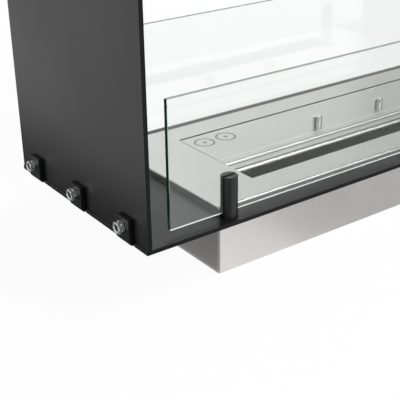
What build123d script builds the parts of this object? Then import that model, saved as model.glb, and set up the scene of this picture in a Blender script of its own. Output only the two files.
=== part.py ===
from build123d import *
import math
import os

# A see-through bioethanol fireplace for building in. Two lugged steel plates and two side
# panels make an open frame, two glass panes stand in slotted posts at the front and the
# rear, and a stainless burner drops into a cut-out of the bottom plate. A sliding shutter
# with two knobs sets the width of the burner's flame slot.
#
# Millimetres. X runs along the fireplace, -Y is the front and +Z is up. The origin is the
# middle of the tank's underside, which is the lowest face.

# ---------------------------------------------------------------- frame
frame_length = 675.0          # over the outer faces of the side panels
frame_depth = 225.0
frame_height = 400.0          # underside of the bottom plate to top of the top plate
plate_thickness = 4.0         # bottom and top plates
panel_thickness = 4.0         # side panels
plate_corner_radius = 1.0
edge_rounding = 0.4           # coated edges of plates and panels
plate_lip = 1.0               # plates' ends beyond the panels' outer faces, between the lugs

# Bent lugs, three at each end of each plate, standing outside the side panels
lugs_per_end = 3
lug_width = 21.0
lug_height = 23.8             # from the plate's outer face
lug_gap = 0.5                 # lug to panel, and the inside radius of the bend
lug_corner_radius = 2.5
lug_edge_rounding = 0.3
lug_end_inset = 32.5          # middle of the first lug from the plate's front edge
notch_width = 2.0             # bend relief beside each lug
notch_depth = 3.0

# Welded studs, clamp nuts and lock nuts, M6
stud_diameter = 6.0
stud_inset = 15.2             # stud axis from the plate's outer face
stud_hole_clearance = 0.3     # all round, in the lug
stud_recess = 1.4             # stud's end below the lock nut's face
stud_tip_chamfer = 0.5
nut_across_flats = 10.0
nut_thickness = 3.0
nut_face_chamfer = 0.9        # across the corners, both faces
nut_face_chamfer_height = 0.5
nut_bore_chamfer = 0.6
thread_clearance = 0.05       # all round, nuts and tapped holes
clamp_nut_turn = 17.0         # each nut stopped at its own angle, in degrees
lock_nut_turn = 41.0

# ---------------------------------------------------------------- glass and posts
glass_thickness = 4.0
glass_height = 115.0
glass_end_gap = 24.0          # pane's end to the side panel
glass_raise = 5.8             # pane's lower edge above the bottom plate
glass_corner_radius = 1.0
glass_edge_chamfer = 0.4
post_diameter = 16.5
post_height = 39.5
post_inset = 12.2             # post axis from the frame's front or rear face
post_end_inset = 91.0         # post axis from the frame's end
post_slot_clearance = 0.4     # each side of the pane
post_slot_offset = 0.7        # slot's middle from the post's axis, towards the frame's face
post_top_chamfer = 0.4

# Countersunk screws up through the bottom plate into the posts, M5
post_screw_diameter = 5.0
post_screw_head_diameter = 9.2
post_screw_head_angle = 90.0  # degrees
post_screw_socket = 3.0       # across flats
post_screw_socket_depth = 1.6
post_screw_hole_clearance = 0.25
post_screw_end_gap = 0.8      # screw's end below the slot's floor

# ---------------------------------------------------------------- burner
tank_drop = 63.0              # tank's underside below the bottom plate
burner_side_margin = 85.5     # burner rim from the frame's end
burner_post_gap = 0.45        # burner rim to post
rim_height = 6.5
burner_sheet = 1.5
bend_radius = 1.0             # inside radius of the burner's bends
rim_edge_relief = 0.5         # rim's edge radius below the corner's outside radius
tank_inset = 6.7              # tank wall inside the rim's edge
cutout_gap = 1.0              # tank wall to the bottom plate's cut-out
opening_end_margin = 63.0     # opening's end from the rim's end
opening_side_margin = 31.4    # opening's long edge from the rim's long edge

# Sliding shutter, drawn as it stands open
flame_slot_width = 28.0
rear_gap = 3.5                # shutter's rear edge to the opening's rear edge
closed_gap = 0.5              # lip to the opening's front edge when shut
shutter_end_gap = 0.2
slide_clearance = 0.3
lip_depth = 14.1              # from the head of the step to the shutter's front edge
lip_height = 5.0              # the lip's front edge turned down
lip_turn_radius = 4.5
step_drop = 2.4               # steep step down to the lip, along the whole shutter
step_depth = 1.3
step_head_radius = 1.8
step_foot_radius = 2.2
score_setback = 9.8           # scored line's rear edge behind the head of the step
score_depth = 0.45
score_wall = 0.26             # the score's steep rear wall, in Y
score_width = 3.8

# Rails, strip and shelf under the opening
rail_ledge = 5.0              # rail's width under the shutter's end
rail_land = 8.0               # rail's, strip's and shelf's width under the burner top
rail_setback = 2.5            # rail's front end behind the head of the step
shelf_setback = 2.0           # shelf's front face behind the shutter's front edge
shelf_flange = 20.0
guide_clearance = 0.3         # screw in the shelf's guide slots, all round

# Knobs, M4 screws and washers
knob_diameter = 10.0
knob_height = 10.0
knob_spacing = 92.0
knob_rear_inset = 50.6        # knob axis from the shutter's rear edge
knob_chamfer = 0.6
knob_screw_diameter = 4.0
knob_screw_engagement = 7.0
knob_hole_extra = 0.6         # tapped hole beyond the screw's end
knob_screw_head_diameter = 7.6
knob_screw_head_height = 2.2
knob_screw_socket = 2.5       # across flats
knob_screw_socket_depth = 1.3
washer_diameter = 9.0
washer_thickness = 0.8
hole_clearance = 0.2          # screw in washer and shutter, all round

# Absorber wool and its perforated retainer
wool_height = 38.0
wool_gap = 0.5                # wool to retainer, all round
retainer_sheet = 1.0
retainer_gap = 0.5            # retainer to tank wall
perforation_diameter = 6.0
perforation_pitch = 10.0
perforation_rows = 3

# ---------------------------------------------------------------- worked out
base_z = tank_drop
base_top_z = base_z + plate_thickness
frame_top_z = base_z + frame_height
ceiling_z = frame_top_z - plate_thickness
end_x = frame_length / 2
plate_length = frame_length + 2 * plate_lip
front_y = -frame_depth / 2

lug_outer_radius = lug_gap + plate_thickness
lug_spacing = (frame_depth - 2 * lug_end_inset) / (lugs_per_end - 1)
lug_ys = [front_y + lug_end_inset + i * lug_spacing for i in range(lugs_per_end)]
stud_length = lug_gap + plate_thickness + 2 * nut_thickness - stud_recess
stud_levels = {"bottom": base_z + stud_inset, "top": frame_top_z - stud_inset}
notch_offset = (lug_width + notch_width) / 2
notch_ys = [y + side * notch_offset for y in lug_ys for side in (-1, 1)]
notch_places = [(x, y) for x in (-end_x, end_x) for y in notch_ys]
lip_gap_places = [(x, y) for x in (-end_x - plate_lip, end_x + plate_lip) for y in lug_ys]

glass_length = frame_length - 2 * (panel_thickness + glass_end_gap)
glass_bottom_z = base_top_z + glass_raise
post_slot_width = glass_thickness + 2 * post_slot_clearance
post_x = end_x - post_end_inset
post_y = frame_depth / 2 - post_inset
pane_y = post_y + post_slot_offset
post_screw_length = plate_thickness + glass_raise - post_screw_end_gap
post_screw_head_margin = (post_screw_head_diameter - post_screw_diameter) / 2
post_screw_head_height = post_screw_head_margin / math.tan(math.radians(post_screw_head_angle / 2))

burner_length = frame_length - 2 * burner_side_margin
burner_depth = frame_depth - 2 * (post_inset + post_diameter / 2 + burner_post_gap)
outer_bend_radius = bend_radius + burner_sheet
rim_edge_radius = outer_bend_radius - rim_edge_relief
burner_top_z = base_top_z + rim_height
burner_under_z = burner_top_z - burner_sheet
tank_length = burner_length - 2 * tank_inset
tank_depth = burner_depth - 2 * tank_inset
cutout_length = tank_length + 2 * cutout_gap
cutout_depth = tank_depth + 2 * cutout_gap
opening_length = burner_length - 2 * opening_end_margin
opening_depth = burner_depth - 2 * opening_side_margin
opening_rear_y = opening_depth / 2

shutter_length = opening_length - 2 * shutter_end_gap
shutter_depth = opening_depth - flame_slot_width - rear_gap
shutter_travel = flame_slot_width - closed_gap
shutter_rear_y = opening_rear_y - rear_gap
shutter_front_y = shutter_rear_y - shutter_depth
shutter_under_z = burner_under_z + slide_clearance
shutter_top_z = shutter_under_z + burner_sheet
lip_top_z = shutter_top_z - step_drop
step_head_y = shutter_front_y + lip_depth
step_foot_y = step_head_y - step_depth
score_rear_y = step_head_y + score_setback

rail_thickness = step_drop
rail_front_y = step_head_y + rail_setback
rail_rear_y = opening_rear_y + rail_land
rail_outer_x = opening_length / 2 + rail_land
rail_inner_x = opening_length / 2 - rail_ledge
shelf_top_z = burner_under_z - rail_thickness
shelf_under_z = shelf_top_z - burner_sheet
shelf_front_y = shutter_front_y + shelf_setback
shelf_depth = rail_rear_y - shelf_front_y
guide_slot_width = knob_screw_diameter + 2 * guide_clearance
knob_y = shutter_rear_y - knob_rear_inset
washer_top_z = shelf_under_z - slide_clearance
knob_screw_head_z = washer_top_z - washer_thickness
knob_screw_length = shutter_top_z - knob_screw_head_z + knob_screw_engagement

retainer_length = tank_length - 2 * (burner_sheet + retainer_gap)
retainer_depth = tank_depth - 2 * (burner_sheet + retainer_gap)
retainer_height = wool_height + retainer_sheet
slot_middle_y = -opening_rear_y + flame_slot_width / 2

os.makedirs("parts", exist_ok=True)

# ---------------------------------------------------------------- lug, shared by the plates
# A lug of the bottom plate's left end, with its bend starting at X = 0 and Z = 0
with BuildPart() as left_lug:
    with BuildSketch(Plane.XZ):
        with BuildLine():
            Line((0, plate_thickness), (0, 0))
            RadiusArc((0, 0), (-lug_outer_radius, lug_outer_radius), lug_outer_radius)
            Line((-lug_outer_radius, lug_outer_radius), (-lug_outer_radius, lug_height))
            Line((-lug_outer_radius, lug_height), (-lug_gap, lug_height))
            Line((-lug_gap, lug_height), (-lug_gap, lug_outer_radius))
            RadiusArc((-lug_gap, lug_outer_radius), (0, plate_thickness), -lug_gap)
        make_face()
    extrude(amount=lug_width / 2, both=True)
    fillet(left_lug.edges().filter_by(Axis.X).group_by(Axis.Z)[-1], lug_corner_radius)
    outlines = left_lug.faces().filter_by(Axis.X).edges() + left_lug.faces().filter_by(Axis.Y).edges()
    fillet(outlines.filter_by(lambda edge: edge.center().X < -lug_gap / 2), lug_edge_rounding)
    with Locations(Plane((-lug_outer_radius, 0, stud_inset), z_dir=(-1, 0, 0))):
        Hole(stud_diameter / 2 + stud_hole_clearance)

right_lug = mirror(left_lug.part, about=Plane.YZ)
left_top_lug = mirror(left_lug.part, about=Plane.XY)
right_top_lug = mirror(right_lug, about=Plane.XY)


def rounded_edges(plate):
    """The plate's long edges and the end edges of its lips, without those under the lugs."""
    long_edges = plate.edges().filter_by(Axis.X).filter_by(
        lambda edge: abs(edge.center().Y) > frame_depth / 2 - edge_rounding
    )
    end_edges = plate.edges().filter_by(Axis.Y).filter_by(
        lambda edge: abs(edge.center().X) > end_x + edge_rounding
    )
    return long_edges + end_edges


# ---------------------------------------------------------------- bottom plate
with BuildPart() as bottom_plate:
    with BuildSketch(Plane.XY.offset(base_z)):
        RectangleRounded(plate_length, frame_depth, plate_corner_radius)
        RectangleRounded(cutout_length, cutout_depth, outer_bend_radius, mode=Mode.SUBTRACT)
        with Locations(*notch_places):
            Rectangle(2 * notch_depth, notch_width, mode=Mode.SUBTRACT)
        with Locations(*lip_gap_places):
            Rectangle(2 * plate_lip, lug_width + notch_width, mode=Mode.SUBTRACT)
    extrude(amount=plate_thickness)
    fillet(rounded_edges(bottom_plate), edge_rounding)
    with Locations(*[(-end_x, y, base_z) for y in lug_ys]):
        add(left_lug.part)
    with Locations(*[(end_x, y, base_z) for y in lug_ys]):
        add(right_lug)
    with Locations(Plane((0, 0, base_z), z_dir=(0, 0, -1))):
        with GridLocations(2 * post_x, 2 * post_y, 2, 2):
            CounterSinkHole(
                radius=post_screw_diameter / 2 + post_screw_hole_clearance,
                counter_sink_radius=post_screw_head_diameter / 2 + post_screw_hole_clearance,
                depth=plate_thickness,
                counter_sink_angle=post_screw_head_angle,
            )
bottom_plate.part.label = "bottom_plate"
export_step(bottom_plate.part, "parts/bottom_plate.step")

# ---------------------------------------------------------------- top plate, lugs pointing down
with BuildPart() as top_plate:
    with BuildSketch(Plane.XY.offset(ceiling_z)):
        RectangleRounded(plate_length, frame_depth, plate_corner_radius)
        with Locations(*notch_places):
            Rectangle(2 * notch_depth, notch_width, mode=Mode.SUBTRACT)
        with Locations(*lip_gap_places):
            Rectangle(2 * plate_lip, lug_width + notch_width, mode=Mode.SUBTRACT)
    extrude(amount=plate_thickness)
    fillet(rounded_edges(top_plate), edge_rounding)
    with Locations(*[(-end_x, y, frame_top_z) for y in lug_ys]):
        add(left_top_lug)
    with Locations(*[(end_x, y, frame_top_z) for y in lug_ys]):
        add(right_top_lug)
top_plate.part.label = "top_plate"
export_step(top_plate.part, "parts/top_plate.step")

# ---------------------------------------------------------------- nut, shared by all corners
# Hexagon along Z from Z = 0, both faces chamfered round, bore eased at both ends
with BuildPart() as nut_blank:
    with BuildSketch():
        Circle(nut_across_flats / math.sqrt(3))
    extrude(amount=nut_thickness)
    chamfer(nut_blank.edges().filter_by(GeomType.CIRCLE), nut_face_chamfer_height, nut_face_chamfer)

with BuildPart() as nut:
    with BuildSketch():
        RegularPolygon(nut_across_flats / 2, 6, major_radius=False)
    extrude(amount=nut_thickness)
    add(nut_blank.part, mode=Mode.INTERSECT)
    with BuildSketch():
        Circle(stud_diameter / 2 + thread_clearance)
    extrude(amount=nut_thickness, mode=Mode.SUBTRACT)
    bore_edges = nut.edges().filter_by(GeomType.CIRCLE).group_by(SortBy.RADIUS)[0]
    chamfer(bore_edges, nut_bore_chamfer)

# ---------------------------------------------------------------- side panels and their fixings
for side, direction in (("left", -1), ("right", 1)):
    panel_face_x = direction * end_x

    with BuildPart() as side_panel:
        with BuildSketch(Plane.XY.offset(base_top_z)):
            with Locations((direction * (end_x - panel_thickness / 2), 0)):
                Rectangle(panel_thickness, frame_depth)
        extrude(amount=ceiling_z - base_top_z)
        fillet(side_panel.edges().filter_by(Axis.Z), edge_rounding)
    side_panel.part.label = f"{side}_side_panel"
    export_step(side_panel.part, f"parts/{side}_side_panel.step")

    for level, stud_z in stud_levels.items():
        with BuildPart() as studs:
            with Locations(*[Plane((panel_face_x, y, stud_z), z_dir=(direction, 0, 0)) for y in lug_ys]):
                foot = (Align.CENTER, Align.CENTER, Align.MIN)
                Cylinder(stud_diameter / 2, stud_length, align=foot)
            tips = studs.edges().filter_by(GeomType.CIRCLE).group_by(Axis.X)[-1 if direction > 0 else 0]
            chamfer(tips, stud_tip_chamfer)
        studs.part.label = f"{side}_{level}_studs"
        export_step(studs.part, f"parts/{side}_{level}_studs.step")

        nut_kinds = (
            ("clamp_nuts", lug_outer_radius, clamp_nut_turn),
            ("lock_nuts", lug_outer_radius + nut_thickness, lock_nut_turn),
        )
        for kind, offset_x, turn in nut_kinds:
            with BuildPart() as nuts:
                for i, y in enumerate(lug_ys):
                    seat = Plane((panel_face_x + direction * offset_x, y, stud_z), z_dir=(direction, 0, 0))
                    with Locations(seat.location * Rotation(0, 0, turn * (i + 1))):
                        add(nut.part)
            nuts.part.label = f"{side}_{level}_{kind}"
            export_step(nuts.part, f"parts/{side}_{level}_{kind}.step")

# ---------------------------------------------------------------- posts
post_places = {
    "front_left_post": (-post_x, -post_y),
    "front_right_post": (post_x, -post_y),
    "rear_left_post": (-post_x, post_y),
    "rear_right_post": (post_x, post_y),
}
for post_name, (x, y) in post_places.items():
    with BuildPart() as post:
        with BuildSketch(Plane.XY.offset(base_top_z)):
            with Locations((x, y)):
                Circle(post_diameter / 2)
        extrude(amount=post_height)
        chamfer(post.edges().filter_by(GeomType.CIRCLE).sort_by(Axis.Z)[-1], post_top_chamfer)
        with BuildSketch(Plane.XY.offset(glass_bottom_z)):
            with Locations((x, math.copysign(pane_y, y))):
                Rectangle(2 * post_diameter, post_slot_width)
        extrude(amount=post_height, mode=Mode.SUBTRACT)
        with BuildSketch(Plane.XY.offset(base_top_z)):
            with Locations((x, y)):
                Circle(post_screw_diameter / 2 + thread_clearance)
        extrude(amount=glass_raise, mode=Mode.SUBTRACT)
    post.part.label = post_name
    export_step(post.part, f"parts/{post_name}.step")

# ---------------------------------------------------------------- post screws
# Head flush with the plate's underside
with BuildPart() as post_screw:
    with BuildSketch(Plane.XZ):
        with BuildLine():
            Polyline(
                (0, 0),
                (post_screw_head_diameter / 2, 0),
                (post_screw_diameter / 2, post_screw_head_height),
                (post_screw_diameter / 2, post_screw_length),
                (0, post_screw_length),
                close=True,
            )
        make_face()
    revolve(axis=Axis.Z)
    with BuildSketch():
        RegularPolygon(post_screw_socket / 2, 6, major_radius=False)
    extrude(amount=post_screw_socket_depth, mode=Mode.SUBTRACT)

with BuildPart() as post_screws:
    with Locations(*[(x, y, base_z) for x, y in post_places.values()]):
        add(post_screw.part)
post_screws.part.label = "post_screws"
export_step(post_screws.part, "parts/post_screws.step")

# ---------------------------------------------------------------- glass panes
for pane_name, y in (("front_glass", -pane_y), ("rear_glass", pane_y)):
    with BuildPart() as pane:
        with BuildSketch(Plane.XZ.offset(-y)):
            with Locations((0, glass_bottom_z + glass_height / 2)):
                RectangleRounded(glass_length, glass_height, glass_corner_radius)
        extrude(amount=glass_thickness / 2, both=True)
        faces_in_y = pane.faces().filter_by(Axis.Y)
        chamfer(faces_in_y.edges(), glass_edge_chamfer)
    pane.part.label = pane_name
    export_step(pane.part, f"parts/{pane_name}.step")

# ---------------------------------------------------------------- burner tank
with BuildPart() as burner_tank:
    with BuildSketch():
        RectangleRounded(tank_length, tank_depth, outer_bend_radius)
    extrude(amount=burner_under_z)
    fillet(burner_tank.faces().sort_by(Axis.Z)[0].edges(), rim_edge_radius)
    with BuildSketch(Plane.XY.offset(burner_sheet)):
        RectangleRounded(tank_length - 2 * burner_sheet, tank_depth - 2 * burner_sheet, bend_radius)
    extrude(amount=burner_under_z, mode=Mode.SUBTRACT)
burner_tank.part.label = "burner_tank"
export_step(burner_tank.part, "parts/burner_tank.step")

# ---------------------------------------------------------------- burner top
# A shallow tray turned over: its rim stands on the bottom plate round the cut-out
with BuildPart() as burner_top:
    with BuildSketch(Plane.XY.offset(base_top_z)):
        RectangleRounded(burner_length, burner_depth, outer_bend_radius)
    extrude(amount=rim_height)
    fillet(burner_top.faces().sort_by(Axis.Z)[-1].edges(), rim_edge_radius)
    with BuildSketch(Plane.XY.offset(base_top_z)):
        RectangleRounded(burner_length - 2 * burner_sheet, burner_depth - 2 * burner_sheet, bend_radius)
    extrude(amount=rim_height - burner_sheet, mode=Mode.SUBTRACT)
    with BuildSketch(Plane.XY.offset(burner_under_z)):
        Rectangle(opening_length, opening_depth)
    extrude(amount=burner_sheet, mode=Mode.SUBTRACT)
burner_top.part.label = "burner_top"
export_step(burner_top.part, "parts/burner_top.step")

# ---------------------------------------------------------------- slide rails
for side, direction in (("left", -1), ("right", 1)):
    with BuildPart() as slide_rail:
        with BuildSketch(Plane.XY.offset(shelf_top_z)):
            with Locations((direction * (rail_inner_x + rail_outer_x) / 2, (rail_front_y + rail_rear_y) / 2)):
                Rectangle(rail_outer_x - rail_inner_x, rail_rear_y - rail_front_y)
        extrude(amount=rail_thickness)
    slide_rail.part.label = f"{side}_slide_rail"
    export_step(slide_rail.part, f"parts/{side}_slide_rail.step")

# ---------------------------------------------------------------- rear strip, between the rails
with BuildPart() as rear_strip:
    with BuildSketch(Plane.XY.offset(shelf_top_z)):
        with Locations((0, opening_rear_y + rail_land / 2)):
            Rectangle(2 * rail_inner_x, rail_land)
    extrude(amount=rail_thickness)
rear_strip.part.label = "rear_strip"
export_step(rear_strip.part, "parts/rear_strip.step")

# ---------------------------------------------------------------- shelf under the shutter
# Its front flange is the rear wall of the flame chamber, and its two guide slots stop
# the shutter at both ends of its travel
with BuildPart() as shutter_shelf:
    with BuildSketch(Plane.YZ):
        with BuildLine() as shelf_line:
            FilletPolyline(
                (rail_rear_y, shelf_top_z),
                (shelf_front_y, shelf_top_z),
                (shelf_front_y, shelf_top_z - shelf_flange),
                radius=outer_bend_radius,
            )
            offset(amount=burner_sheet, side=Side.LEFT)
        make_face()
    extrude(amount=rail_outer_x, both=True)
    with BuildSketch(Plane.XY.offset(shelf_under_z)):
        with Locations((0, knob_y - shutter_travel / 2)):
            with GridLocations(knob_spacing, 0, 2, 1):
                SlotCenterToCenter(shutter_travel, guide_slot_width, rotation=90)
    extrude(amount=burner_sheet, mode=Mode.SUBTRACT)
shutter_shelf.part.label = "shutter_shelf"
export_step(shutter_shelf.part, "parts/shutter_shelf.step")

# ---------------------------------------------------------------- shutter
# The section's upper line, from the rear edge over the step to the turned-down lip
with BuildPart() as shutter:
    with BuildSketch(Plane.YZ):
        with BuildLine() as shutter_line:
            FilletPolyline(
                (shutter_rear_y, shutter_top_z),
                (step_head_y, shutter_top_z),
                (step_foot_y, lip_top_z),
                (shutter_front_y, lip_top_z),
                (shutter_front_y, lip_top_z - lip_height),
                radius=[step_head_radius, step_foot_radius, lip_turn_radius],
            )
            offset(amount=burner_sheet, side=Side.LEFT)
        make_face()
    extrude(amount=shutter_length / 2, both=True)
    with BuildSketch(Plane.YZ):
        with BuildLine():
            Polyline(
                (score_rear_y, shutter_top_z),
                (score_rear_y - score_wall, shutter_top_z - score_depth),
                (score_rear_y - score_width, shutter_top_z),
                close=True,
            )
        make_face()
    extrude(amount=shutter_length / 2, both=True, mode=Mode.SUBTRACT)
    with Locations((0, knob_y, shutter_top_z)):
        with GridLocations(knob_spacing, 0, 2, 1):
            Hole(knob_screw_diameter / 2 + hole_clearance)
shutter.part.label = "shutter"
export_step(shutter.part, "parts/shutter.step")

# ---------------------------------------------------------------- knobs
for side, direction in (("left", -1), ("right", 1)):
    with BuildPart() as knob:
        with BuildSketch(Plane.XY.offset(shutter_top_z)):
            with Locations((direction * knob_spacing / 2, knob_y)):
                Circle(knob_diameter / 2)
        extrude(amount=knob_height)
        chamfer(knob.edges().filter_by(GeomType.CIRCLE).sort_by(Axis.Z)[-1], knob_chamfer)
        with BuildSketch(Plane.XY.offset(shutter_top_z)):
            with Locations((direction * knob_spacing / 2, knob_y)):
                Circle(knob_screw_diameter / 2 + thread_clearance)
        extrude(amount=knob_screw_engagement + knob_hole_extra, mode=Mode.SUBTRACT)
    knob.part.label = f"{side}_knob"
    export_step(knob.part, f"parts/{side}_knob.step")

# ---------------------------------------------------------------- knob washers and screws
with BuildPart() as knob_washers:
    with BuildSketch(Plane.XY.offset(washer_top_z)):
        with Locations((0, knob_y)):
            with GridLocations(knob_spacing, 0, 2, 1):
                Circle(washer_diameter / 2)
                Circle(knob_screw_diameter / 2 + hole_clearance, mode=Mode.SUBTRACT)
    extrude(amount=-washer_thickness)
knob_washers.part.label = "knob_washers"
export_step(knob_washers.part, "parts/knob_washers.step")

with BuildPart() as knob_screws:
    with BuildSketch(Plane.XY.offset(knob_screw_head_z)):
        with Locations((0, knob_y)):
            with GridLocations(knob_spacing, 0, 2, 1):
                Circle(knob_screw_diameter / 2)
    extrude(amount=knob_screw_length)
    with BuildSketch(Plane.XY.offset(knob_screw_head_z)):
        with Locations((0, knob_y)):
            with GridLocations(knob_spacing, 0, 2, 1):
                Circle(knob_screw_head_diameter / 2)
    extrude(amount=-knob_screw_head_height)
    with BuildSketch(Plane.XY.offset(knob_screw_head_z - knob_screw_head_height)):
        with Locations((0, knob_y)):
            with GridLocations(knob_spacing, 0, 2, 1):
                RegularPolygon(knob_screw_socket / 2, 6, major_radius=False)
    extrude(amount=knob_screw_socket_depth, mode=Mode.SUBTRACT)
knob_screws.part.label = "knob_screws"
export_step(knob_screws.part, "parts/knob_screws.step")

# ---------------------------------------------------------------- wool retainer
# A perforated cover standing on the tank's floor over the wool
perforation_columns = int(opening_length // perforation_pitch)
with BuildPart() as wool_retainer:
    with BuildSketch(Plane.XY.offset(burner_sheet)):
        Rectangle(retainer_length, retainer_depth)
    extrude(amount=retainer_height)
    with BuildSketch(Plane.XY.offset(burner_sheet)):
        Rectangle(retainer_length - 2 * retainer_sheet, retainer_depth - 2 * retainer_sheet)
    extrude(amount=wool_height, mode=Mode.SUBTRACT)
    with BuildSketch(Plane.XY.offset(burner_sheet + wool_height)):
        with Locations((0, slot_middle_y)):
            with GridLocations(perforation_pitch, perforation_pitch, perforation_columns, perforation_rows):
                Circle(perforation_diameter / 2)
    extrude(amount=retainer_sheet, mode=Mode.SUBTRACT)
wool_retainer.part.label = "wool_retainer"
export_step(wool_retainer.part, "parts/wool_retainer.step")

# ---------------------------------------------------------------- absorber wool
wool_inset = retainer_sheet + wool_gap
with BuildPart() as absorber_wool:
    with BuildSketch(Plane.XY.offset(burner_sheet)):
        Rectangle(retainer_length - 2 * wool_inset, retainer_depth - 2 * wool_inset)
    extrude(amount=wool_height - wool_gap)
absorber_wool.part.label = "absorber_wool"
export_step(absorber_wool.part, "parts/absorber_wool.step")
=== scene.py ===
# %% [markdown]
# # A see-through bioethanol fireplace
#
# The object is a black steel frame for building into a wall. Two glass panes stand in slotted
# posts, and a stainless burner sits in the bottom plate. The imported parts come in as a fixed
# frame: every part has its real size and place, and this script gives them their finishes,
# their light and the small shapes that show from close by.

import math

import bpy
from mathutils import Matrix, Vector


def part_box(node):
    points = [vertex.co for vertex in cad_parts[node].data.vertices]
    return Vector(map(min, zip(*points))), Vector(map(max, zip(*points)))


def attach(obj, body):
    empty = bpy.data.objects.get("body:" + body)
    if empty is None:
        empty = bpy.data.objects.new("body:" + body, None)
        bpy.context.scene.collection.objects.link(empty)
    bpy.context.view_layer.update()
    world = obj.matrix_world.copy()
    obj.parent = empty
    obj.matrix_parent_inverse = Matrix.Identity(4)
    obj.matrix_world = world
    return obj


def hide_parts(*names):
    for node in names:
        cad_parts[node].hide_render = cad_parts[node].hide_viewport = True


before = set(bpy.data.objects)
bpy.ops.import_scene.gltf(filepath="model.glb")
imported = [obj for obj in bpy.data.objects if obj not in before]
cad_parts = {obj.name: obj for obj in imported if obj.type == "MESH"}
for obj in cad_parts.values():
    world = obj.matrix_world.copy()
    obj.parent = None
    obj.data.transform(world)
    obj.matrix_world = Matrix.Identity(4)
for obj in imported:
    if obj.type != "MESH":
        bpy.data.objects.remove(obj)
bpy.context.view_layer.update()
print("packed parts:", len(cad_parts))

# %% [markdown]
# ## Units and colours
#
# Blender counts in metres and in linear light, and a maker thinks in millimetres and in the
# hex colours of a screen. Small helpers turn one into the other, so that every size and
# colour below can be read as it is on the object.

# %% Millimetres and hex colours
MM = 0.001


def linear(hex_colour):
    """The linear RGBA of an sRGB hex colour such as #8a8c8e."""
    shares = [int(hex_colour[i : i + 2], 16) / 255 for i in (1, 3, 5)]
    return [s / 12.92 if s <= 0.04045 else ((s + 0.055) / 1.055) ** 2.4 for s in shares] + [1.0]


print("mid grey #808080 is", round(linear("#808080")[0], 3), "in linear light")

# %% [markdown]
# ## The camera
#
# The photograph looks at the left end from the front, a little from above, through a fairly
# long lens. Its place was found from edges whose real sizes are known: the plate's lugs, the
# posts and the panes. The picture is square, so the lens alone sets how much it takes in. A
# camera looks along its own -Z with its Y upwards, so its turn is built from three directions:
# to its right, up, and back.

# %% Camera at the photograph's angle
camera_place = Vector((-674.5, -652.2, 417.25)) * MM
camera_azimuth = math.radians(35.778)
camera_elevation = math.radians(25.614)
camera_roll = math.radians(0.721)
lens_length = 80.70              # mm
sensor_width = 36.0              # mm
nearest_shown = 0.05             # metres from the camera

forward = Vector(
    (
        math.sin(camera_azimuth) * math.cos(camera_elevation),
        math.cos(camera_azimuth) * math.cos(camera_elevation),
        -math.sin(camera_elevation),
    )
)
level = forward.cross(Vector((0, 0, 1))).normalized()
up = level.cross(forward)
right = level * math.cos(camera_roll) - up * math.sin(camera_roll)
camera_up = up * math.cos(camera_roll) + level * math.sin(camera_roll)
turn = Matrix((right, camera_up, -forward)).transposed().to_4x4()

camera_data = bpy.data.cameras.new("camera")
camera_data.lens = lens_length
camera_data.sensor_width = sensor_width
camera_data.clip_start = nearest_shown
camera = bpy.data.objects.new("camera", camera_data)
camera.matrix_world = Matrix.Translation(camera_place) @ turn
scene = bpy.context.scene
scene.collection.objects.link(camera)
scene.camera = camera
print("camera looks along", [round(c, 3) for c in forward])

# %% [markdown]
# ## A helper for material nodes
#
# A material is a small graph. One function adds a node, sets its own properties, and gives
# each socket a value or a link from another node. A socket is given by its name, or by its
# number where several share a name: in a Mix node 0 is the share and 1 and 2 are what it
# mixes, and in a Map Range node 0 is the value, 1 and 2 are the range it comes from (0 to 1
# unless they are given) and 3 and 4 the range it goes to.

# %% Helpers for nodes and materials
def add_node(tree, kind, inputs=None, **properties):
    """A new node of that kind in tree. inputs gives sockets by name or number a value or a link."""
    node = tree.nodes.new(kind)
    for name, value in properties.items():
        setattr(node, name, value)
    for socket, value in (inputs or {}).items():
        if isinstance(value, bpy.types.NodeSocket):
            tree.links.new(value, node.inputs[socket])
        else:
            node.inputs[socket].default_value = value
    return node


def new_material(name):
    """An empty material with its tree, its output node and the place of a surface point."""
    material = bpy.data.materials.new(name)
    material.use_nodes = True
    tree = material.node_tree
    tree.nodes.clear()
    output = add_node(tree, "ShaderNodeOutputMaterial")
    point = add_node(tree, "ShaderNodeTexCoord").outputs["Object"]
    return material, tree, output, point


print("helpers:", add_node.__name__, new_material.__name__)

# %% [markdown]
# ## The white room
#
# The photograph is a plain product picture: a white room, big soft lamps and no hard
# shadow. The world is white where it is seen or looked at through glass. Where it is
# mirrored, it is a little dimmer towards the front and the right, as a studio is behind the
# camera, because metal only looks like metal when it has something uneven to mirror. Where
# it only fills shadows it is dimmer still, so that the lamps give the shapes a side. The
# Light Path node tells these rays apart. Its Glossy Depth counts how often a ray was mirrored,
# and the smaller of that and 1 says no or yes.

# %% World
fill_strength = 0.38             # of the room, where it only fills shadows
front_dimming = 0.45             # of the mirrored room, straight towards the front
right_dimming = 0.50             # of the mirrored room, far towards the right
right_start, right_end = 0.45, 0.92   # how far to the right, of 1, that starts and is full
plain_white = (1, 1, 1, 1)


def ray_kinds(tree):
    """Whether a ray shows the background to the eye, and whether metal mirrored it on its way."""
    rays = add_node(tree, "ShaderNodeLightPath").outputs
    seen = rays["Is Camera Ray"]
    for way in ("Is Glossy Ray", "Is Transmission Ray"):
        either = add_node(tree, "ShaderNodeMath", {0: seen, 1: rays[way]}, operation="MAXIMUM")
        seen = either.outputs[0]
    bounces = rays["Glossy Depth"]
    mirrored = add_node(tree, "ShaderNodeMath", {0: bounces, 1: 1.0}, operation="MINIMUM")
    return seen, mirrored.outputs[0]


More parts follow.
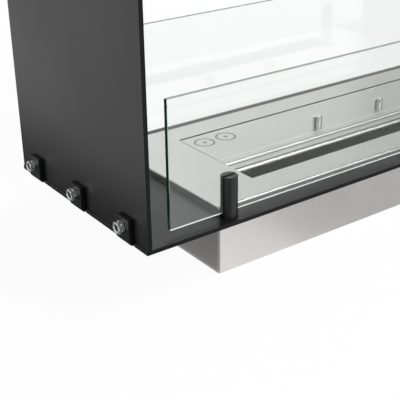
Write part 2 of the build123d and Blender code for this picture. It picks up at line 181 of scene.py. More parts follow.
scene.view_settings.view_transform = "Standard"
world = bpy.data.worlds.new("white_room")
scene.world = world
world.use_nodes = True
tree = world.node_tree
tree.nodes.clear()
direction = add_node(tree, "ShaderNodeTexCoord").outputs["Generated"]
along = add_node(tree, "ShaderNodeSeparateXYZ", {0: direction}).outputs
to_front = add_node(
    tree, "ShaderNodeMapRange", {0: along["Y"], 1: -1.0, 2: 0.0, 3: 1 - front_dimming, 4: 1.0}
).outputs[0]
to_right = add_node(
    tree,
    "ShaderNodeMapRange",
    {0: along["X"], 1: right_start, 2: right_end, 3: 1.0, 4: 1 - right_dimming},
).outputs[0]
room = add_node(tree, "ShaderNodeMath", {0: to_front, 1: to_right}, operation="MULTIPLY")
seen, mirrored = ray_kinds(tree)
shown = add_node(tree, "ShaderNodeMapRange", {0: mirrored, 3: 1.0, 4: room.outputs[0]}).outputs[0]
fill = add_node(tree, "ShaderNodeBackground", {"Color": plain_white, "Strength": fill_strength})
white = add_node(tree, "ShaderNodeBackground", {"Color": plain_white, "Strength": shown})
mix = add_node(tree, "ShaderNodeMixShader", {0: seen, 1: fill.outputs[0], 2: white.outputs[0]})
add_node(tree, "ShaderNodeOutputWorld", {"Surface": mix.outputs[0]})
print("world fills shadows at", fill_strength)

# %% [markdown]
# ## Two soft lamps
#
# Both lamps stand in front of the object and to its right, as the photograph's shading says.
# The wide, weak one also shows in the metal as a soft sheen. The strong one above it lights
# the faces that look up and gives the floor its shadow. It would leave a hard bright patch in
# every glossy face, which the photograph doesn't have, so mirrored rays don't see it.

# %% Soft lamps
# each lamp's place in metres, width in metres, power in watts and whether metal mirrors it
lamps = {
    "lamp_key": ((1.3, -2.2, 1.7), 2.4, 20.0, True),
    "lamp_high": ((0.95, -1.5, 2.45), 1.0, 70.0, False),
}
lamp_aim = Vector((0, 0, 0.15))  # metres, the middle of what the photograph shows

for name, (place, width, power, in_mirrors) in lamps.items():
    lamp_data = bpy.data.lights.new(name, "AREA")
    lamp_data.shape = "SQUARE"
    lamp_data.size = width
    lamp_data.energy = power
    lamp = bpy.data.objects.new(name, lamp_data)
    lamp.location = place
    lamp.visible_glossy = in_mirrors
    lamp.rotation_euler = (lamp_aim - Vector(place)).to_track_quat("-Z", "Y").to_euler()
    scene.collection.objects.link(lamp)
    print(name, "is", width, "m wide and gives", power, "W")

# %% [markdown]
# ## The floor
#
# The burner's tank is the lowest face, so the object stands on it. The floor is pale and
# matt, takes the object's soft shadow, and turns to plain white further out, where it meets
# the white room without a line. The eye sees it lifted most of the way to white, as in a cut
# out product picture. What metal mirrors of it is painted light and shade: paler in front of
# the left end, dimmer to the right, and painted dark beside the left panel's foot and the
# left end of the tank. A colour ramp along X holds these steps.

# %% The painted light and shade that metal sees in the floor
# metres along X, and how bright the floor is painted there for rays that metal mirrors
painted_floor_in_mirrors = (
    (-1.00, 0.90), (-0.60, 0.92), (-0.53, 1.15), (-0.48, 1.10), (-0.44, 0.00), (-0.35, 0.10),
    (-0.25, 0.27), (-0.242, 1.04), (-0.165, 0.88), (-0.118, 0.60), (-0.05, 0.47), (0.35, 0.47),
    (1.00, 1.00),
)
mirror_reach = 1.0               # metres from the middle to the first and the last of these
mirror_peak = 1.2                # as bright as any of them may be, because a ramp ends at 1

paper_floor, tree, output, point = new_material("white_paper_floor")
x_place = add_node(tree, "ShaderNodeSeparateXYZ", {0: point}).outputs["X"]
across = add_node(tree, "ShaderNodeMapRange", {0: x_place, 1: -mirror_reach, 2: mirror_reach})
ramp = add_node(tree, "ShaderNodeValToRGB", {0: across.outputs[0]})
steps = ramp.color_ramp.elements
for step, (x, brightness) in enumerate(painted_floor_in_mirrors):
    share = (x + mirror_reach) / (2 * mirror_reach)
    if step < len(steps):
        steps[step].position = share
    else:
        steps.new(share)
    steps[step].color = [brightness / mirror_peak] * 3 + [1]
graded = add_node(
    tree, "ShaderNodeMath", {0: ramp.outputs[0], 1: mirror_peak}, operation="MULTIPLY"
).outputs[0]
print("the mirrored floor has", len(steps), "steps")

# %% Floor
floor_size = 12.0                # metres
floor_clearance = 0.1            # mm under the tank
paper_colour = "#efefef"
shadow_radius = (0.55, 1.1)      # the shadow fades between these, in metres
seen_lift = 0.95                 # how far the floor is lifted to white for the eye
mirrored_lift = 0.75             # and for metal that mirrors it

seen, mirrored = ray_kinds(tree)
paper = add_node(tree, "ShaderNodeBsdfDiffuse", {"Color": linear(paper_colour)}).outputs[0]
glow = add_node(tree, "ShaderNodeMapRange", {0: mirrored, 3: 1.0, 4: graded}).outputs[0]
white = add_node(tree, "ShaderNodeEmission", {"Strength": glow}).outputs[0]
lift = add_node(tree, "ShaderNodeMapRange", {0: mirrored, 3: seen_lift, 4: mirrored_lift})
distance = add_node(tree, "ShaderNodeVectorMath", {0: point}, operation="LENGTH").outputs["Value"]
far = add_node(
    tree,
    "ShaderNodeMapRange",
    {0: distance, 1: shadow_radius[0], 2: shadow_radius[1], 3: lift.outputs[0], 4: 1.0},
    interpolation_type="SMOOTHSTEP",
).outputs[0]
lifted = add_node(tree, "ShaderNodeMixShader", {0: far, 1: paper, 2: white}).outputs[0]
shown = add_node(tree, "ShaderNodeMixShader", {0: seen, 1: paper, 2: lifted}).outputs[0]
tree.links.new(shown, output.inputs["Surface"])

bpy.ops.object.select_all(action="DESELECT")
bpy.ops.mesh.primitive_plane_add(size=floor_size, location=(0, 0, -floor_clearance * MM))
floor = bpy.context.object
floor.name = "floor"
floor.data.materials.append(paper_floor)
print("floor is", floor_size, "m wide")

# %% [markdown]
# ## Satin black powder coat
#
# Plates, panels, lugs and posts are steel, sprayed with black powder and baked. The film
# melts into a satin skin with a very fine orange peel. It has next to no colour of its own:
# the eye sees the white room mirrored softly in it, most where it is seen at a slant. A
# picture of a coat would carry one fixed light, so the coat is built from noise at two
# scales: clouds in how dull the film is, and the peel as a bump. On the cut edges that look to
# the front and the rear the coat is matt, a lower IOR makes it mirror less, and its slightly
# darker colour is painted shade.

# %% Powder coat
peel_width = 1.2                 # mm, from one crest of the orange peel to the next
peel_height = 0.008              # mm
cloud_width = 90.0               # mm, patches where the film came out a little duller
noise_low, noise_high = 0.3, 0.7   # Blender's noise seldom leaves this range


def powder_coat(name, dark, pale, duller, glossier, ior):
    """Baked powder, with its darkest and palest colour and its roughness range."""
    material, tree, output, point = new_material(name)
    clouds = add_node(
        tree,
        "ShaderNodeTexNoise",
        {"Vector": point, "Scale": 1 / (cloud_width * MM), "Detail": 3.0},
    ).outputs[0]
    peel = add_node(
        tree,
        "ShaderNodeTexNoise",
        {"Vector": point, "Scale": 1 / (peel_width * MM), "Detail": 2.0},
    ).outputs[0]
    colour = add_node(tree, "ShaderNodeMixRGB", {0: peel, 1: linear(dark), 2: linear(pale)})
    roughness = add_node(
        tree, "ShaderNodeMapRange", {0: clouds, 1: noise_low, 2: noise_high, 3: glossier, 4: duller}
    )
    bump = add_node(tree, "ShaderNodeBump", {"Height": peel, "Distance": peel_height * MM})
    shader = add_node(
        tree,
        "ShaderNodeBsdfPrincipled",
        {
            "Base Color": colour.outputs[0],
            "Roughness": roughness.outputs[0],
            "IOR": ior,
            "Normal": bump.outputs[0],
        },
    )
    tree.links.new(shader.outputs[0], output.inputs["Surface"])
    return material


# name, darkest and palest colour, dullest and glossiest roughness, IOR
coat_on_sheet = ("satin_black_powder_coat_on_steel", "#0e0f10", "#151617", 0.36, 0.30, 1.48)
coat_on_posts = ("satin_black_powder_coat_on_bar", "#0c0d0e", "#131415", 0.40, 0.34, 1.55)
# the front and rear cut edges' slightly darker colours are painted shade
coat_on_shaded_edges = ("matt_powder_coat_on_cut_edge_painted_shade", "#0b0c0e", "#131518", 0.62, 0.55, 1.30)
black_coat = powder_coat(*coat_on_sheet)
post_coat = powder_coat(*coat_on_posts)
shaded_edge_coat = powder_coat(*coat_on_shaded_edges)
print("made", black_coat.name, post_coat.name, shaded_edge_coat.name)

# %% [markdown]
# ## Brushed stainless sheet
#
# The burner is folded from stainless sheet that was drawn under a grit belt, so it is
# covered with fine scratches along its length. They stretch every mirrored light across the
# grain. The real scratches are far finer than a pixel, so they are drawn wider. Broad, faint
# patches, where a hand or a cloth went over it, keep the big plain faces from looking
# painted. Inside the tank the sheet is duller, and darker by painted shade for the deep cavity
# under the slot.

# %% Brushed stainless
grit_width = 0.6                 # mm, drawn wider than real grit, so that it shows
scratch_length = 60.0            # mm
scratch_depth = 0.0012           # mm
patch_width = 45.0               # mm
both_low, both_high = 0.7, 1.3   # where the sum of two noises mostly stays


def brushed_stainless(name, along, dark, pale, glossier, duller):
    """Stainless sheet with scratches along the axes in along, such as "X" or "XY"."""
    material, tree, output, point = new_material(name)
    scale = [1 / ((scratch_length if axis in along else grit_width) * MM) for axis in "XYZ"]
    stretched = add_node(tree, "ShaderNodeMapping", {"Vector": point, "Scale": scale}).outputs[0]
    grit = add_node(
        tree, "ShaderNodeTexNoise", {"Vector": stretched, "Scale": 1.0, "Detail": 4.0}
    ).outputs[0]
    patches = add_node(
        tree,
        "ShaderNodeTexNoise",
        {"Vector": point, "Scale": 1 / (patch_width * MM), "Detail": 3.0},
    ).outputs[0]
    both = add_node(tree, "ShaderNodeMath", {0: grit, 1: patches}, operation="ADD").outputs[0]
    share = add_node(tree, "ShaderNodeMapRange", {0: both, 1: both_low, 2: both_high}).outputs[0]
    colour = add_node(tree, "ShaderNodeMixRGB", {0: share, 1: linear(dark), 2: linear(pale)})
    roughness = add_node(
        tree,
        "ShaderNodeMapRange",
        {0: patches, 1: noise_low, 2: noise_high, 3: glossier, 4: duller},
    )
    bump = add_node(tree, "ShaderNodeBump", {"Height": grit, "Distance": scratch_depth * MM})
    shader = add_node(
        tree,
        "ShaderNodeBsdfPrincipled",
        {
            "Base Color": colour.outputs[0],
            "Metallic": 1.0,
            "Roughness": roughness.outputs[0],
            "Normal": bump.outputs[0],
        },
    )
    tree.links.new(shader.outputs[0], output.inputs["Surface"])
    return material


# the grain's axes, the darkest and the palest colour, the glossiest and the dullest roughness
top_look = ("X", "#cdcdcb", "#d6d6d4", 0.28, 0.34)
tank_look = ("XY", "#dcd9d7", "#e2e0de", 0.27, 0.30)
# the inside's darker colours are painted shade for the cavity under the slot
shaded_inside_look = ("X", "#5c5a57", "#686663", 0.45, 0.55)
brushed_top = brushed_stainless("brushed_stainless_sheet", *top_look)
brushed_shutter = brushed_stainless("brushed_stainless_shutter", *top_look)
brushed_tank = brushed_stainless("brushed_stainless_tank", *tank_look)
brushed_inside_painted_shade = brushed_stainless("stainless_inside_of_tank_painted_shade", *shaded_inside_look)
print("made", brushed_top.name, brushed_shutter.name, brushed_tank.name, brushed_inside_painted_shade.name)

# %% [markdown]
# ## Two plain rings on the shutter
#
# Two plain rings with a dot are burnt into the shutter's left end by a laser, which leaves
# the metal flat but dull and grey. A ring is all points at one distance from its middle, so it
# is worked out in the steel's own material, and needs no shape of its own. The marks go in
# between the steel's noise and its shader.

# %% Laser-marked rings
ring_centres = ((-171.7, 38.0), (-144.7, 38.0))   # mm
ring_radius = 10.0               # mm, to the middle of its line
ring_line = 2.0                  # mm
ring_dot = 2.2                   # mm, radius
ring_blur = 0.25                 # mm, how softly the laser's edge ends
ring_colour = linear("#8f8f8d")
ring_roughness = 0.55

tree = brushed_shutter.node_tree
shader = next(node for node in tree.nodes if node.type == "BSDF_PRINCIPLED")
colour = shader.inputs["Base Color"].links[0].from_socket
roughness = shader.inputs["Roughness"].links[0].from_socket
point = next(node for node in tree.nodes if node.type == "TEX_COORD").outputs["Object"]
from_above = add_node(
    tree, "ShaderNodeVectorMath", {0: point, 1: (1, 1, 0)}, operation="MULTIPLY"
).outputs[0]
for x, y in ring_centres:
    from_middle = add_node(
        tree, "ShaderNodeVectorMath", {0: from_above, 1: (x * MM, y * MM, 0)}, operation="DISTANCE"
    ).outputs["Value"]
    outside = add_node(
        tree, "ShaderNodeMath", {0: from_middle, 1: ring_radius * MM}, operation="SUBTRACT"
    ).outputs[0]
    from_line = add_node(tree, "ShaderNodeMath", {0: outside}, operation="ABSOLUTE").outputs[0]
    for away, half in ((from_line, ring_line / 2), (from_middle, ring_dot)):
        marked = add_node(
            tree,
            "ShaderNodeMapRange",
            {0: away, 1: (half - ring_blur) * MM, 2: (half + ring_blur) * MM, 3: 1.0, 4: 0.0},
        ).outputs[0]
        colour = add_node(
            tree, "ShaderNodeMixRGB", {0: marked, 1: colour, 2: ring_colour}
        ).outputs[0]
        roughness = add_node(
            tree, "ShaderNodeMapRange", {0: marked, 3: roughness, 4: ring_roughness}
        ).outputs[0]
tree.links.new(colour, shader.inputs["Base Color"])
tree.links.new(roughness, shader.inputs["Roughness"])
print("marked", len(ring_centres), "rings on", brushed_shutter.name)

# %% [markdown]
# ## Turned and polished stainless
#
# The two knobs were turned from bar and polished. A turning tool leaves rings that are finer
# than a hair, and they show on the flat top as a soft shine that runs round it. The rings
# are drawn as a wave round each knob's own middle, much wider than real.

# %% Polished knobs
turning_pitch = 3.1416           # mm from ring to ring, drawn much wider than real
turning_depth = 0.0006           # mm
turning_waver = 0.4              # how far a ring strays from a circle
wave_rate = 20                   # a Wave node's rings pass this many radians for each length of 1
handled_width = 2.0              # mm, smears from fingers
knob_dark, knob_pale = "#d2d2d0", "#e2e2e0"
knob_glossier, knob_duller = 0.12, 0.20


def turned_stainless(name, centre):
    """Polished steel with turning rings round the upright line through centre."""
    material, tree, output, point = new_material(name)
    centred = add_node(
        tree, "ShaderNodeMapping", {"Vector": point, "Location": [-c for c in centre]}
    ).outputs[0]
    rings_scale = 2 * math.pi / (wave_rate * turning_pitch * MM)
    rings = add_node(
        tree,
        "ShaderNodeTexWave",
        {"Vector": centred, "Scale": rings_scale, "Distortion": turning_waver},
        wave_type="RINGS",
        rings_direction="Z",
    ).outputs[0]
    smears = add_node(
        tree,
        "ShaderNodeTexNoise",
        {"Vector": point, "Scale": 1 / (handled_width * MM), "Detail": 3.0},
    ).outputs[0]
    colour = add_node(
        tree, "ShaderNodeMixRGB", {0: smears, 1: linear(knob_dark), 2: linear(knob_pale)}
    )
    roughness = add_node(
        tree,
        "ShaderNodeMapRange",
        {0: smears, 1: noise_low, 2: noise_high, 3: knob_glossier, 4: knob_duller},
    )
    bump = add_node(tree, "ShaderNodeBump", {"Height": rings, "Distance": turning_depth * MM})
    shader = add_node(
        tree,
        "ShaderNodeBsdfPrincipled",
        {
            "Base Color": colour.outputs[0],
            "Metallic": 1.0,
            "Roughness": roughness.outputs[0],
            "Normal": bump.outputs[0],
        },
    )
    tree.links.new(shader.outputs[0], output.inputs["Surface"])
    return material


knob_finishes = {}
for name in ("left_knob", "right_knob"):
    low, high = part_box(name)
    middle = [(a + b) / 2 for a, b in zip(low, high)]
    knob_finishes[name] = turned_stainless("turned_stainless_" + name, middle)
    print(name, "stands at", [round(c / MM, 1) for c in middle], "mm")

# %% [markdown]
# ## Bright zinc plate
#
# Nuts, washers and screws are mild steel with a bright zinc plate, which is a little bluish
# and breaks into patches of slightly different grey where the spanner and the bath left
# them.

# %% Zinc
zinc_patch = 2.5                 # mm
zinc_relief = 0.002              # mm
zinc_dark, zinc_pale = "#dcdedf", "#ecedee"
zinc_glossier, zinc_duller = 0.30, 0.37

zinc, tree, output, point = new_material("bright_zinc_plated_steel")
patches = add_node(
    tree, "ShaderNodeTexNoise", {"Vector": point, "Scale": 1 / (zinc_patch * MM), "Detail": 3.0}
).outputs[0]
colour = add_node(
    tree, "ShaderNodeMixRGB", {0: patches, 1: linear(zinc_dark), 2: linear(zinc_pale)}
)
roughness = add_node(
    tree,
    "ShaderNodeMapRange",
    {0: patches, 1: noise_low, 2: noise_high, 3: zinc_glossier, 4: zinc_duller},
)
bump = add_node(tree, "ShaderNodeBump", {"Height": patches, "Distance": zinc_relief * MM})
shader = add_node(
    tree,
    "ShaderNodeBsdfPrincipled",
    {
        "Base Color": colour.outputs[0],
        "Metallic": 1.0,
        "Roughness": roughness.outputs[0],
        "Normal": bump.outputs[0],
    },
)
tree.links.new(shader.outputs[0], output.inputs["Surface"])
print("made", zinc.name)

# %% [markdown]
# ## Clear float glass and its green edges
#
# The panes are toughened float glass. Straight through 4 mm of it the eye sees almost no
# colour, but iron in the glass makes it deep green where one looks in along the pane, at its
# ends. The edges were ground and polished. A pure glass shader only gets that green after
# many bounces inside the slab, so each edge has its own material: part clear glass, part
# painted light, the colour that those bounces end in. That is a painted deep green at the
# ends, a painted pale grey green along the top, and a painted near white along the foot, which
# stands over the bright rim. Lamp light and soft light pass through a pane as if it were clear
# film, so that it throws no dark shadow.

# %% Glass
glass_ior = 1.5
glass_colour = "#fdfffe"
film_colour = "#f8fcfa"          # what lamp light keeps on its way through
iron_tint, iron_density = "#dcefe6", 2.0   # and how much of it a metre of glass takes up
wiped_width = 30.0               # mm, smears that a wiping cloth left
wiped_range = 0.01               # how much rougher they are
painted_bounce_roughness = 0.12          # of the colour that shows from inside


def float_glass(name, painted_light_share=0.0, deep=None, shallow=None, roughness=0.0):
    """Clear glass. On an edge, a share of it is painted light: two colours that stand in for light
    bounced inside the slab.
    """
    material, tree, output, point = new_material(name)
    clear = add_node(
        tree,
        "ShaderNodeBsdfPrincipled",
        {
            "Base Color": linear(glass_colour),
            "Roughness": 0.0,
            "IOR": glass_ior,
            "Transmission Weight": 1.0,
        },
    )
    surface = clear.outputs[0]
    if painted_light_share:
        smears = add_node(
            tree,
            "ShaderNodeTexNoise",
            {"Vector": point, "Scale": 1 / (wiped_width * MM), "Detail": 2.0},
        ).outputs[0]
        polish = add_node(
            tree,
            "ShaderNodeMapRange",
            {0: smears, 1: noise_low, 2: noise_high, 3: roughness, 4: roughness + wiped_range},
        )
        tree.links.new(polish.outputs[0], clear.inputs["Roughness"])
        # the edge's painted light: a colour that stands in for light bounced inside the pane
        painted_bounce_colour = add_node(
            tree, "ShaderNodeMixRGB", {0: smears, 1: linear(deep), 2: linear(shallow)}
        ).outputs[0]
        inside = add_node(
            tree,
            "ShaderNodeBsdfPrincipled",
            {"Base Color": painted_bounce_colour, "Roughness": painted_bounce_roughness, "IOR": glass_ior},
        ).outputs[0]
        surface = add_node(
            tree, "ShaderNodeMixShader", {0: painted_light_share, 1: surface, 2: inside}
        ).outputs[0]
    film = add_node(tree, "ShaderNodeBsdfTransparent", {"Color": linear(film_colour)}).outputs[0]
    rays = add_node(tree, "ShaderNodeLightPath").outputs
    lighting = add_node(
        tree,
        "ShaderNodeMath",
        {0: rays["Is Shadow Ray"], 1: rays["Is Diffuse Ray"]},
        operation="MAXIMUM",
    ).outputs[0]
    shown = add_node(tree, "ShaderNodeMixShader", {0: lighting, 1: surface, 2: film})
    tint = add_node(
        tree, "ShaderNodeVolumeAbsorption", {"Color": linear(iron_tint), "Density": iron_density}
    )
    tree.links.new(shown.outputs[0], output.inputs["Surface"])
    tree.links.new(tint.outputs[0], output.inputs["Volume"])
    return material


# name, share of painted light, its deep and shallow painted colour, roughness
pane_face = float_glass("clear_float_glass")
pane_end = float_glass("polished_glass_end_painted_deep_green", 0.92, "#123f2f", "#2c6a50", 0.02)
pane_edge = float_glass("ground_glass_top_edge_painted_grey_green", 0.60, "#a9bfb5", "#bccfc6", 0.02)
pane_foot = float_glass("ground_glass_bottom_edge_painted_white", 0.95, "#f4faf7", "#fdfffe", 0.02)
print("made", pane_face.name, pane_end.name, pane_edge.name, pane_foot.name)

# %% [markdown]
# ## The panes
#
# A pane is a flat slab, but what shows that it is glass is its edge: ground corners and a
# thin polished arris all round that catches the light. The slab is added as a cube at its
# real size, its four corners are rounded, then the rim of each broad face gets its arris.
# Faces take their material by the way they look.

# %% A block between two corners
def new_block(name, low, high):
    """A cube between two corners, as an object at the origin with its place in its mesh."""
    bpy.ops.object.select_all(action="DESELECT")
    middle = [(a + b) / 2 for a, b in zip(low, high)]
    bpy.ops.mesh.primitive_cube_add(size=1.0, location=middle)
    block = bpy.context.object
    block.name = name
    block.scale = [b - a for a, b in zip(low, high)]
    bpy.ops.object.transform_apply(location=True, rotation=True, scale=True)
    return block


panes = {}
for node in ("front_glass", "rear_glass"):
    low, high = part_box(node)
    panes[node] = new_block(node.replace("glass", "pane"), low, high)
    print(panes[node].name, "is a slab of", [round(c / MM, 1) for c in high - low], "mm")

# %% Glass panes with arrises
corner_radius = 1.0              # mm
corner_steps = 4
arris = 0.35                     # mm
arris_steps = 2
same_depth = 0.001               # mm, ends of an edge that differ by less run along the face
face_facing = 0.9                # how squarely a broad face looks along Y
pane_finishes = (pane_face, pane_end, pane_edge, pane_foot)


def select_edges(piece, wanted):
    """Selects the edges of piece whose two ends pass wanted, for the edit mode operators."""
    bpy.ops.object.mode_set(mode="EDIT")
    bpy.ops.mesh.select_mode(type="EDGE")
    bpy.ops.mesh.select_all(action="DESELECT")
    bpy.ops.object.mode_set(mode="OBJECT")
    for edge in piece.data.edges:
        a, b = (piece.data.vertices[i].co for i in edge.vertices)
        edge.select = wanted(a, b)
    bpy.ops.object.mode_set(mode="EDIT")


for node, pane in panes.items():
    bpy.ops.object.select_all(action="DESELECT")
    pane.select_set(True)
    bpy.context.view_layer.objects.active = pane
    select_edges(pane, lambda a, b: abs((a - b).y) > abs((a - b).x) + abs((a - b).z))
    bpy.ops.mesh.bevel(offset=corner_radius * MM, segments=corner_steps)
    select_edges(pane, lambda a, b: abs((a - b).y) < same_depth * MM)
    bpy.ops.mesh.bevel(offset=arris * MM, segments=arris_steps)
    bpy.ops.object.mode_set(mode="OBJECT")
    for finish in pane_finishes:
        pane.data.materials.append(finish)
    for face in pane.data.polygons:
        if abs(face.normal.y) > face_facing:
            finish = pane_face
        elif abs(face.normal.x) > abs(face.normal.z):
            finish = pane_end
        else:
            finish = pane_edge if face.normal.z > 0 else pane_foot
        face.material_index = pane_finishes.index(finish)
    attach(pane, node)
    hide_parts(node)
    print(pane.name, "has", len(pane.data.polygons), "faces")

# %% [markdown]
# ## Plates and panels with dull cut edges
#
# The plates and panels were cut by laser before they were coated. On their cut edges that
# look to the front or the rear the coat is matt and mirrors less, and a slightly darker colour
# is painted shade, so these edges look almost black beside the satin faces. An imported part
# can carry only one finish, so each plate is copied whole. Its loose triangles are joined and
# shaded flat, and the faces that look to the front or the rear get the shaded edge coat.

# %% Cut edges
shaded_edge_facing = 0.7                # how squarely a face looks along Y to count as a cut edge
merge_distance = 0.001           # mm, points closer than this are one

for node in ("bottom_plate", "top_plate", "left_side_panel", "right_side_panel"):
    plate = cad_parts[node].copy()
    plate.data = plate.data.copy()
    plate.name = node + "_coated"
    scene.collection.objects.link(plate)
    bpy.ops.object.select_all(action="DESELECT")
    plate.select_set(True)
    bpy.context.view_layer.objects.active = plate
    bpy.ops.object.mode_set(mode="EDIT")
    bpy.ops.mesh.select_all(action="SELECT")
    bpy.ops.mesh.remove_doubles(threshold=merge_distance * MM)
    bpy.ops.object.mode_set(mode="OBJECT")
    if plate.data.has_custom_normals:
        bpy.ops.mesh.customdata_custom_splitnormals_clear()
    bpy.ops.object.shade_flat()
    plate.data.materials.clear()
    for finish in (black_coat, shaded_edge_coat):
        plate.data.materials.append(finish)
    for face in plate.data.polygons:
        face.material_index = int(abs(face.normal.y) > shaded_edge_facing)
    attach(plate, "frame")
    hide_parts(node)
    print(plate.name, "has", sum(f.material_index for f in plate.data.polygons), "edge faces")

# %% [markdown]
# ## Threaded studs
#
# The side panels carry welded M6 studs that come through the lugs and end a little inside
# the lock nuts, so one looks at their ends in the nuts' bores. They were coated black with
# the panel. A screw thread is a ridge that is turned round its axis while it climbs, and
# Blender's Screw modifier does just that with one short profile. The profile is drawn point
# by point with extrude, from one root of the thread to the next. The ends are cut square
# with bisect. One stud is made, and the others are turned and moved copies of it.

# %% One stud
thread_pitch = 1.0               # mm, M6 coarse
thread_depth = 0.61              # mm
thread_sides = 32                # steps round one turn
spare_turns = 2                  # more than the stud needs, which the square cuts take off
stud_radius = 3.0                # mm
flank_run = 0.3125               # of the pitch, from the root up to the crest
crest_run = 0.125                # of the pitch
cut_tolerance = 0.0001           # mm, because bisect's own 0.1 mm would leave the cut ragged

pitch = thread_pitch * MM
root, crest = (stud_radius - thread_depth) * MM, stud_radius * MM
profile = (
    (0, root),
    (flank_run, crest),
    (flank_run + crest_run, crest),
    (2 * flank_run + crest_run, root),
    (1, root),
)
stud_low, stud_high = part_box("right_bottom_studs")
stud_length = stud_high.x - stud_low.x

bpy.ops.object.select_all(action="DESELECT")
bpy.ops.mesh.primitive_plane_add(size=pitch)
first_stud = bpy.context.object
first_stud.name = "first_stud"
bpy.ops.object.mode_set(mode="EDIT")
bpy.ops.mesh.select_mode(type="VERT")
bpy.ops.mesh.select_all(action="SELECT")
bpy.ops.mesh.merge(type="CENTER")
for (run, height), (next_run, next_height) in zip(profile, profile[1:]):
    bpy.ops.mesh.extrude_region_move(
        TRANSFORM_OT_translate={"value": ((next_run - run) * pitch, 0, next_height - height)}
    )
bpy.ops.object.mode_set(mode="OBJECT")
first_stud.location = (-pitch, 0, root)
bpy.ops.object.transform_apply(location=True, rotation=True, scale=True)
screw = first_stud.modifiers.new("thread", "SCREW")
screw.axis = "X"
screw.steps = screw.render_steps = thread_sides
screw.screw_offset = pitch
screw.iterations = math.ceil(stud_length / pitch) + spare_turns
bpy.ops.object.modifier_apply(modifier=screw.name)
bpy.ops.object.mode_set(mode="EDIT")
bpy.ops.mesh.select_all(action="SELECT")
bpy.ops.mesh.remove_doubles(threshold=merge_distance * MM)
for end, outwards in ((0.0, -1), (stud_length, 1)):
    bpy.ops.mesh.select_all(action="SELECT")
    bpy.ops.mesh.bisect(
        plane_co=(end, 0, 0),
        plane_no=(outwards, 0, 0),
        clear_outer=True,
        use_fill=True,
        threshold=cut_tolerance * MM,
    )
bpy.ops.mesh.select_all(action="SELECT")
bpy.ops.mesh.normals_make_consistent(inside=False)
bpy.ops.object.mode_set(mode="OBJECT")
print("stud:", round(stud_length / MM, 1), "mm long,", len(first_stud.data.polygons), "faces")

# %% Twelve studs in their places
soft_angle = math.radians(25)    # faces that meet at less look like one curve
stud_ys = [
    stud_low.y + stud_radius * MM,
    (stud_low.y + stud_high.y) / 2,
    stud_high.y - stud_radius * MM,
]
for side, turn in (("left", math.pi), ("right", 0.0)):
    for height in ("bottom", "top"):
        low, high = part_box(f"{side}_{height}_studs")
        foot_x = high.x if side == "left" else low.x
        copies = []
        for y in stud_ys:
            stud = first_stud.copy()
            stud.data = first_stud.data.copy()
            scene.collection.objects.link(stud)
            stud.rotation_euler = (0, 0, turn)
            stud.location = (foot_x, y, (low.z + high.z) / 2)
            copies.append(stud)
        bpy.ops.object.select_all(action="DESELECT")
        for stud in copies:
            stud.select_set(True)
        bpy.context.view_layer.objects.active = copies[0]
        bpy.ops.object.join()
        studs = bpy.context.object
        studs.name = f"{side}_{height}_threads"
        bpy.ops.object.transform_apply(location=True, rotation=True, scale=True)
        bpy.ops.object.shade_smooth_by_angle(angle=soft_angle)
        studs.data.materials.append(black_coat)
        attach(studs, "frame")
        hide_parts(f"{side}_{height}_studs")
        print(studs.name, "has", len(studs.data.polygons), "faces")
bpy.data.objects.remove(first_stud)

# %% [markdown]
# ## White ceramic fibre
#
# The fuel is soaked up by a block of ceramic fibre, blown and needled into a soft white
# board. It is chalk white and has no shine at all. From close by one sees short fibres that
# lie every way. Fibres are far finer than a pixel, so they are drawn wider, as noise that is
# stretched and bent by a second noise, and the tufts between the needle holes are a bump.

# %% Ceramic fibre
fibre_width = 0.5                # mm, drawn wider than real
fibre_sway = 3.0                 # tufts, how far a fibre is bent out of its line
tuft_width = 7.0                 # mm
tuft_height = 0.6                # mm
wool_dark, wool_pale = "#cfccc2", "#e9e7df"
wool_glossier, wool_duller = 0.88, 0.96
fuzz, fuzz_roughness = 0.25, 0.6   # the loose ends that stand up and catch light at a slant

ceramic_fibre, tree, output, point = new_material("needled_white_ceramic_fibre")
tufts = add_node(
    tree, "ShaderNodeTexNoise", {"Vector": point, "Scale": 1 / (tuft_width * MM), "Detail": 3.0}
)
sway = add_node(
    tree,
    "ShaderNodeVectorMath",
    {0: tufts.outputs["Color"], 3: fibre_sway * tuft_width * MM},
    operation="SCALE",
).outputs[0]
swayed = add_node(tree, "ShaderNodeVectorMath", {0: point, 1: sway}, operation="ADD").outputs[0]
fibres = add_node(
    tree, "ShaderNodeTexNoise", {"Vector": swayed, "Scale": 1 / (fibre_width * MM), "Detail": 4.0}
)
lumps = add_node(
    tree, "ShaderNodeMath", {0: tufts.outputs[0], 1: fibres.outputs[0]}, operation="ADD"
).outputs[0]
whites = add_node(tree, "ShaderNodeMixRGB", {0: lumps, 1: linear(wool_dark), 2: linear(wool_pale)})
dullness = add_node(
    tree,
    "ShaderNodeMapRange",
    {0: tufts.outputs[0], 1: noise_low, 2: noise_high, 3: wool_glossier, 4: wool_duller},
)
relief = add_node(tree, "ShaderNodeBump", {"Height": lumps, "Distance": tuft_height * MM})
shader = add_node(
    tree,
    "ShaderNodeBsdfPrincipled",
    {
        "Base Color": whites.outputs[0],
        "Roughness": dullness.outputs[0],
        "Sheen Weight": fuzz,
        "Sheen Roughness": fuzz_roughness,
        "Normal": relief.outputs[0],
    },
)
tree.links.new(shader.outputs[0], output.inputs["Surface"])
print("made", ceramic_fibre.name)

# %% [markdown]
# ## The absorber wool
#
# The block is cut from the fibre board with a knife, so its edges are a little crushed and
# its top and sides swell and dip between the needle holes. It lies in the tank on a flat
# floor and under the perforated cover. A cube at the block's size has its edges bevelled, is
# remeshed into small even squares, and is pushed in by a cloudy Displace, less and less
# towards its flat underside.

# %% Wool
crushed_edge = 4.0               # mm
crushed_steps = 3
weave_step = 4.0                 # mm, the size of one square
deepest_dip = 2.2                # mm
dip_width = 38.0                 # mm
dip_rise = 6.0                   # mm of height over which the dips grow to their full depth
still_share = 0.2                # of dip_rise, over the floor, where nothing moves

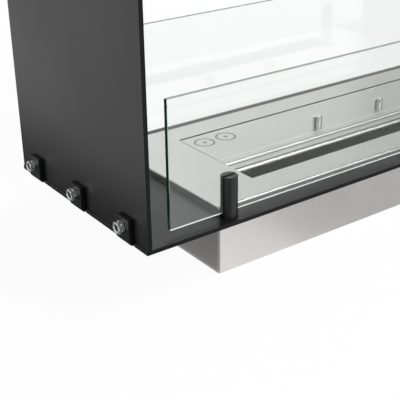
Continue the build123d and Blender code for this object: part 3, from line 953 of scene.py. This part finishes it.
low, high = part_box("absorber_wool")
wool = new_block("absorber_wool_pad", low, high)
bpy.ops.object.mode_set(mode="EDIT")
bpy.ops.mesh.select_all(action="SELECT")
bpy.ops.mesh.bevel(offset=crushed_edge * MM, segments=crushed_steps)
bpy.ops.object.mode_set(mode="OBJECT")
wool.data.remesh_voxel_size = weave_step * MM
bpy.ops.object.voxel_remesh()
upper = wool.vertex_groups.new(name="upper")
for vertex in wool.data.vertices:
    rise = (vertex.co.z - low.z) / (dip_rise * MM)
    upper.add([vertex.index], max(0.0, min(1.0, rise - still_share)), "REPLACE")
clouds = bpy.data.textures.new("dips", "CLOUDS")
clouds.noise_scale = dip_width * MM
dips = wool.modifiers.new("dips", "DISPLACE")
dips.texture = clouds
dips.texture_coords = "LOCAL"
dips.vertex_group = upper.name
dips.mid_level = 1.0
dips.strength = deepest_dip * MM
bpy.ops.object.modifier_apply(modifier=dips.name)
bpy.ops.object.shade_smooth()
wool.data.materials.clear()
wool.data.materials.append(ceramic_fibre)
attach(wool, "burner")
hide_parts("absorber_wool")
print(wool.name, "has", len(wool.data.polygons), "faces")

# %% [markdown]
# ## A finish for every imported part
#
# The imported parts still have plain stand-in colours. Their names end in what they are, so a
# short list of endings gives each part its finish. The parts that a piece above replaces are
# hidden, but get their finish as well, so that the whole object is dressed even where one
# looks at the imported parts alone.

# %% Which part has which finish
finishes = {
    "plate": black_coat,
    "side_panel": black_coat,
    "post": post_coat,
    "studs": black_coat,
    "nuts": zinc,
    "screws": zinc,
    "washers": zinc,
    "glass": pane_face,
    "burner_top": brushed_top,
    "burner_tank": brushed_tank,
    "slide_rail": brushed_top,
    "rear_strip": brushed_top,
    "shutter_shelf": brushed_inside_painted_shade,
    "shutter": brushed_shutter,
    "left_knob": knob_finishes["left_knob"],
    "right_knob": knob_finishes["right_knob"],
    "wool_retainer": brushed_inside_painted_shade,
    "absorber_wool": ceramic_fibre,
}
for name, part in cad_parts.items():
    ending = next(e for e in finishes if name.endswith(e))
    part.material_slots[0].material = finishes[ending]
print("gave", len(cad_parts), "parts one of", len(set(finishes.values())), "finishes")
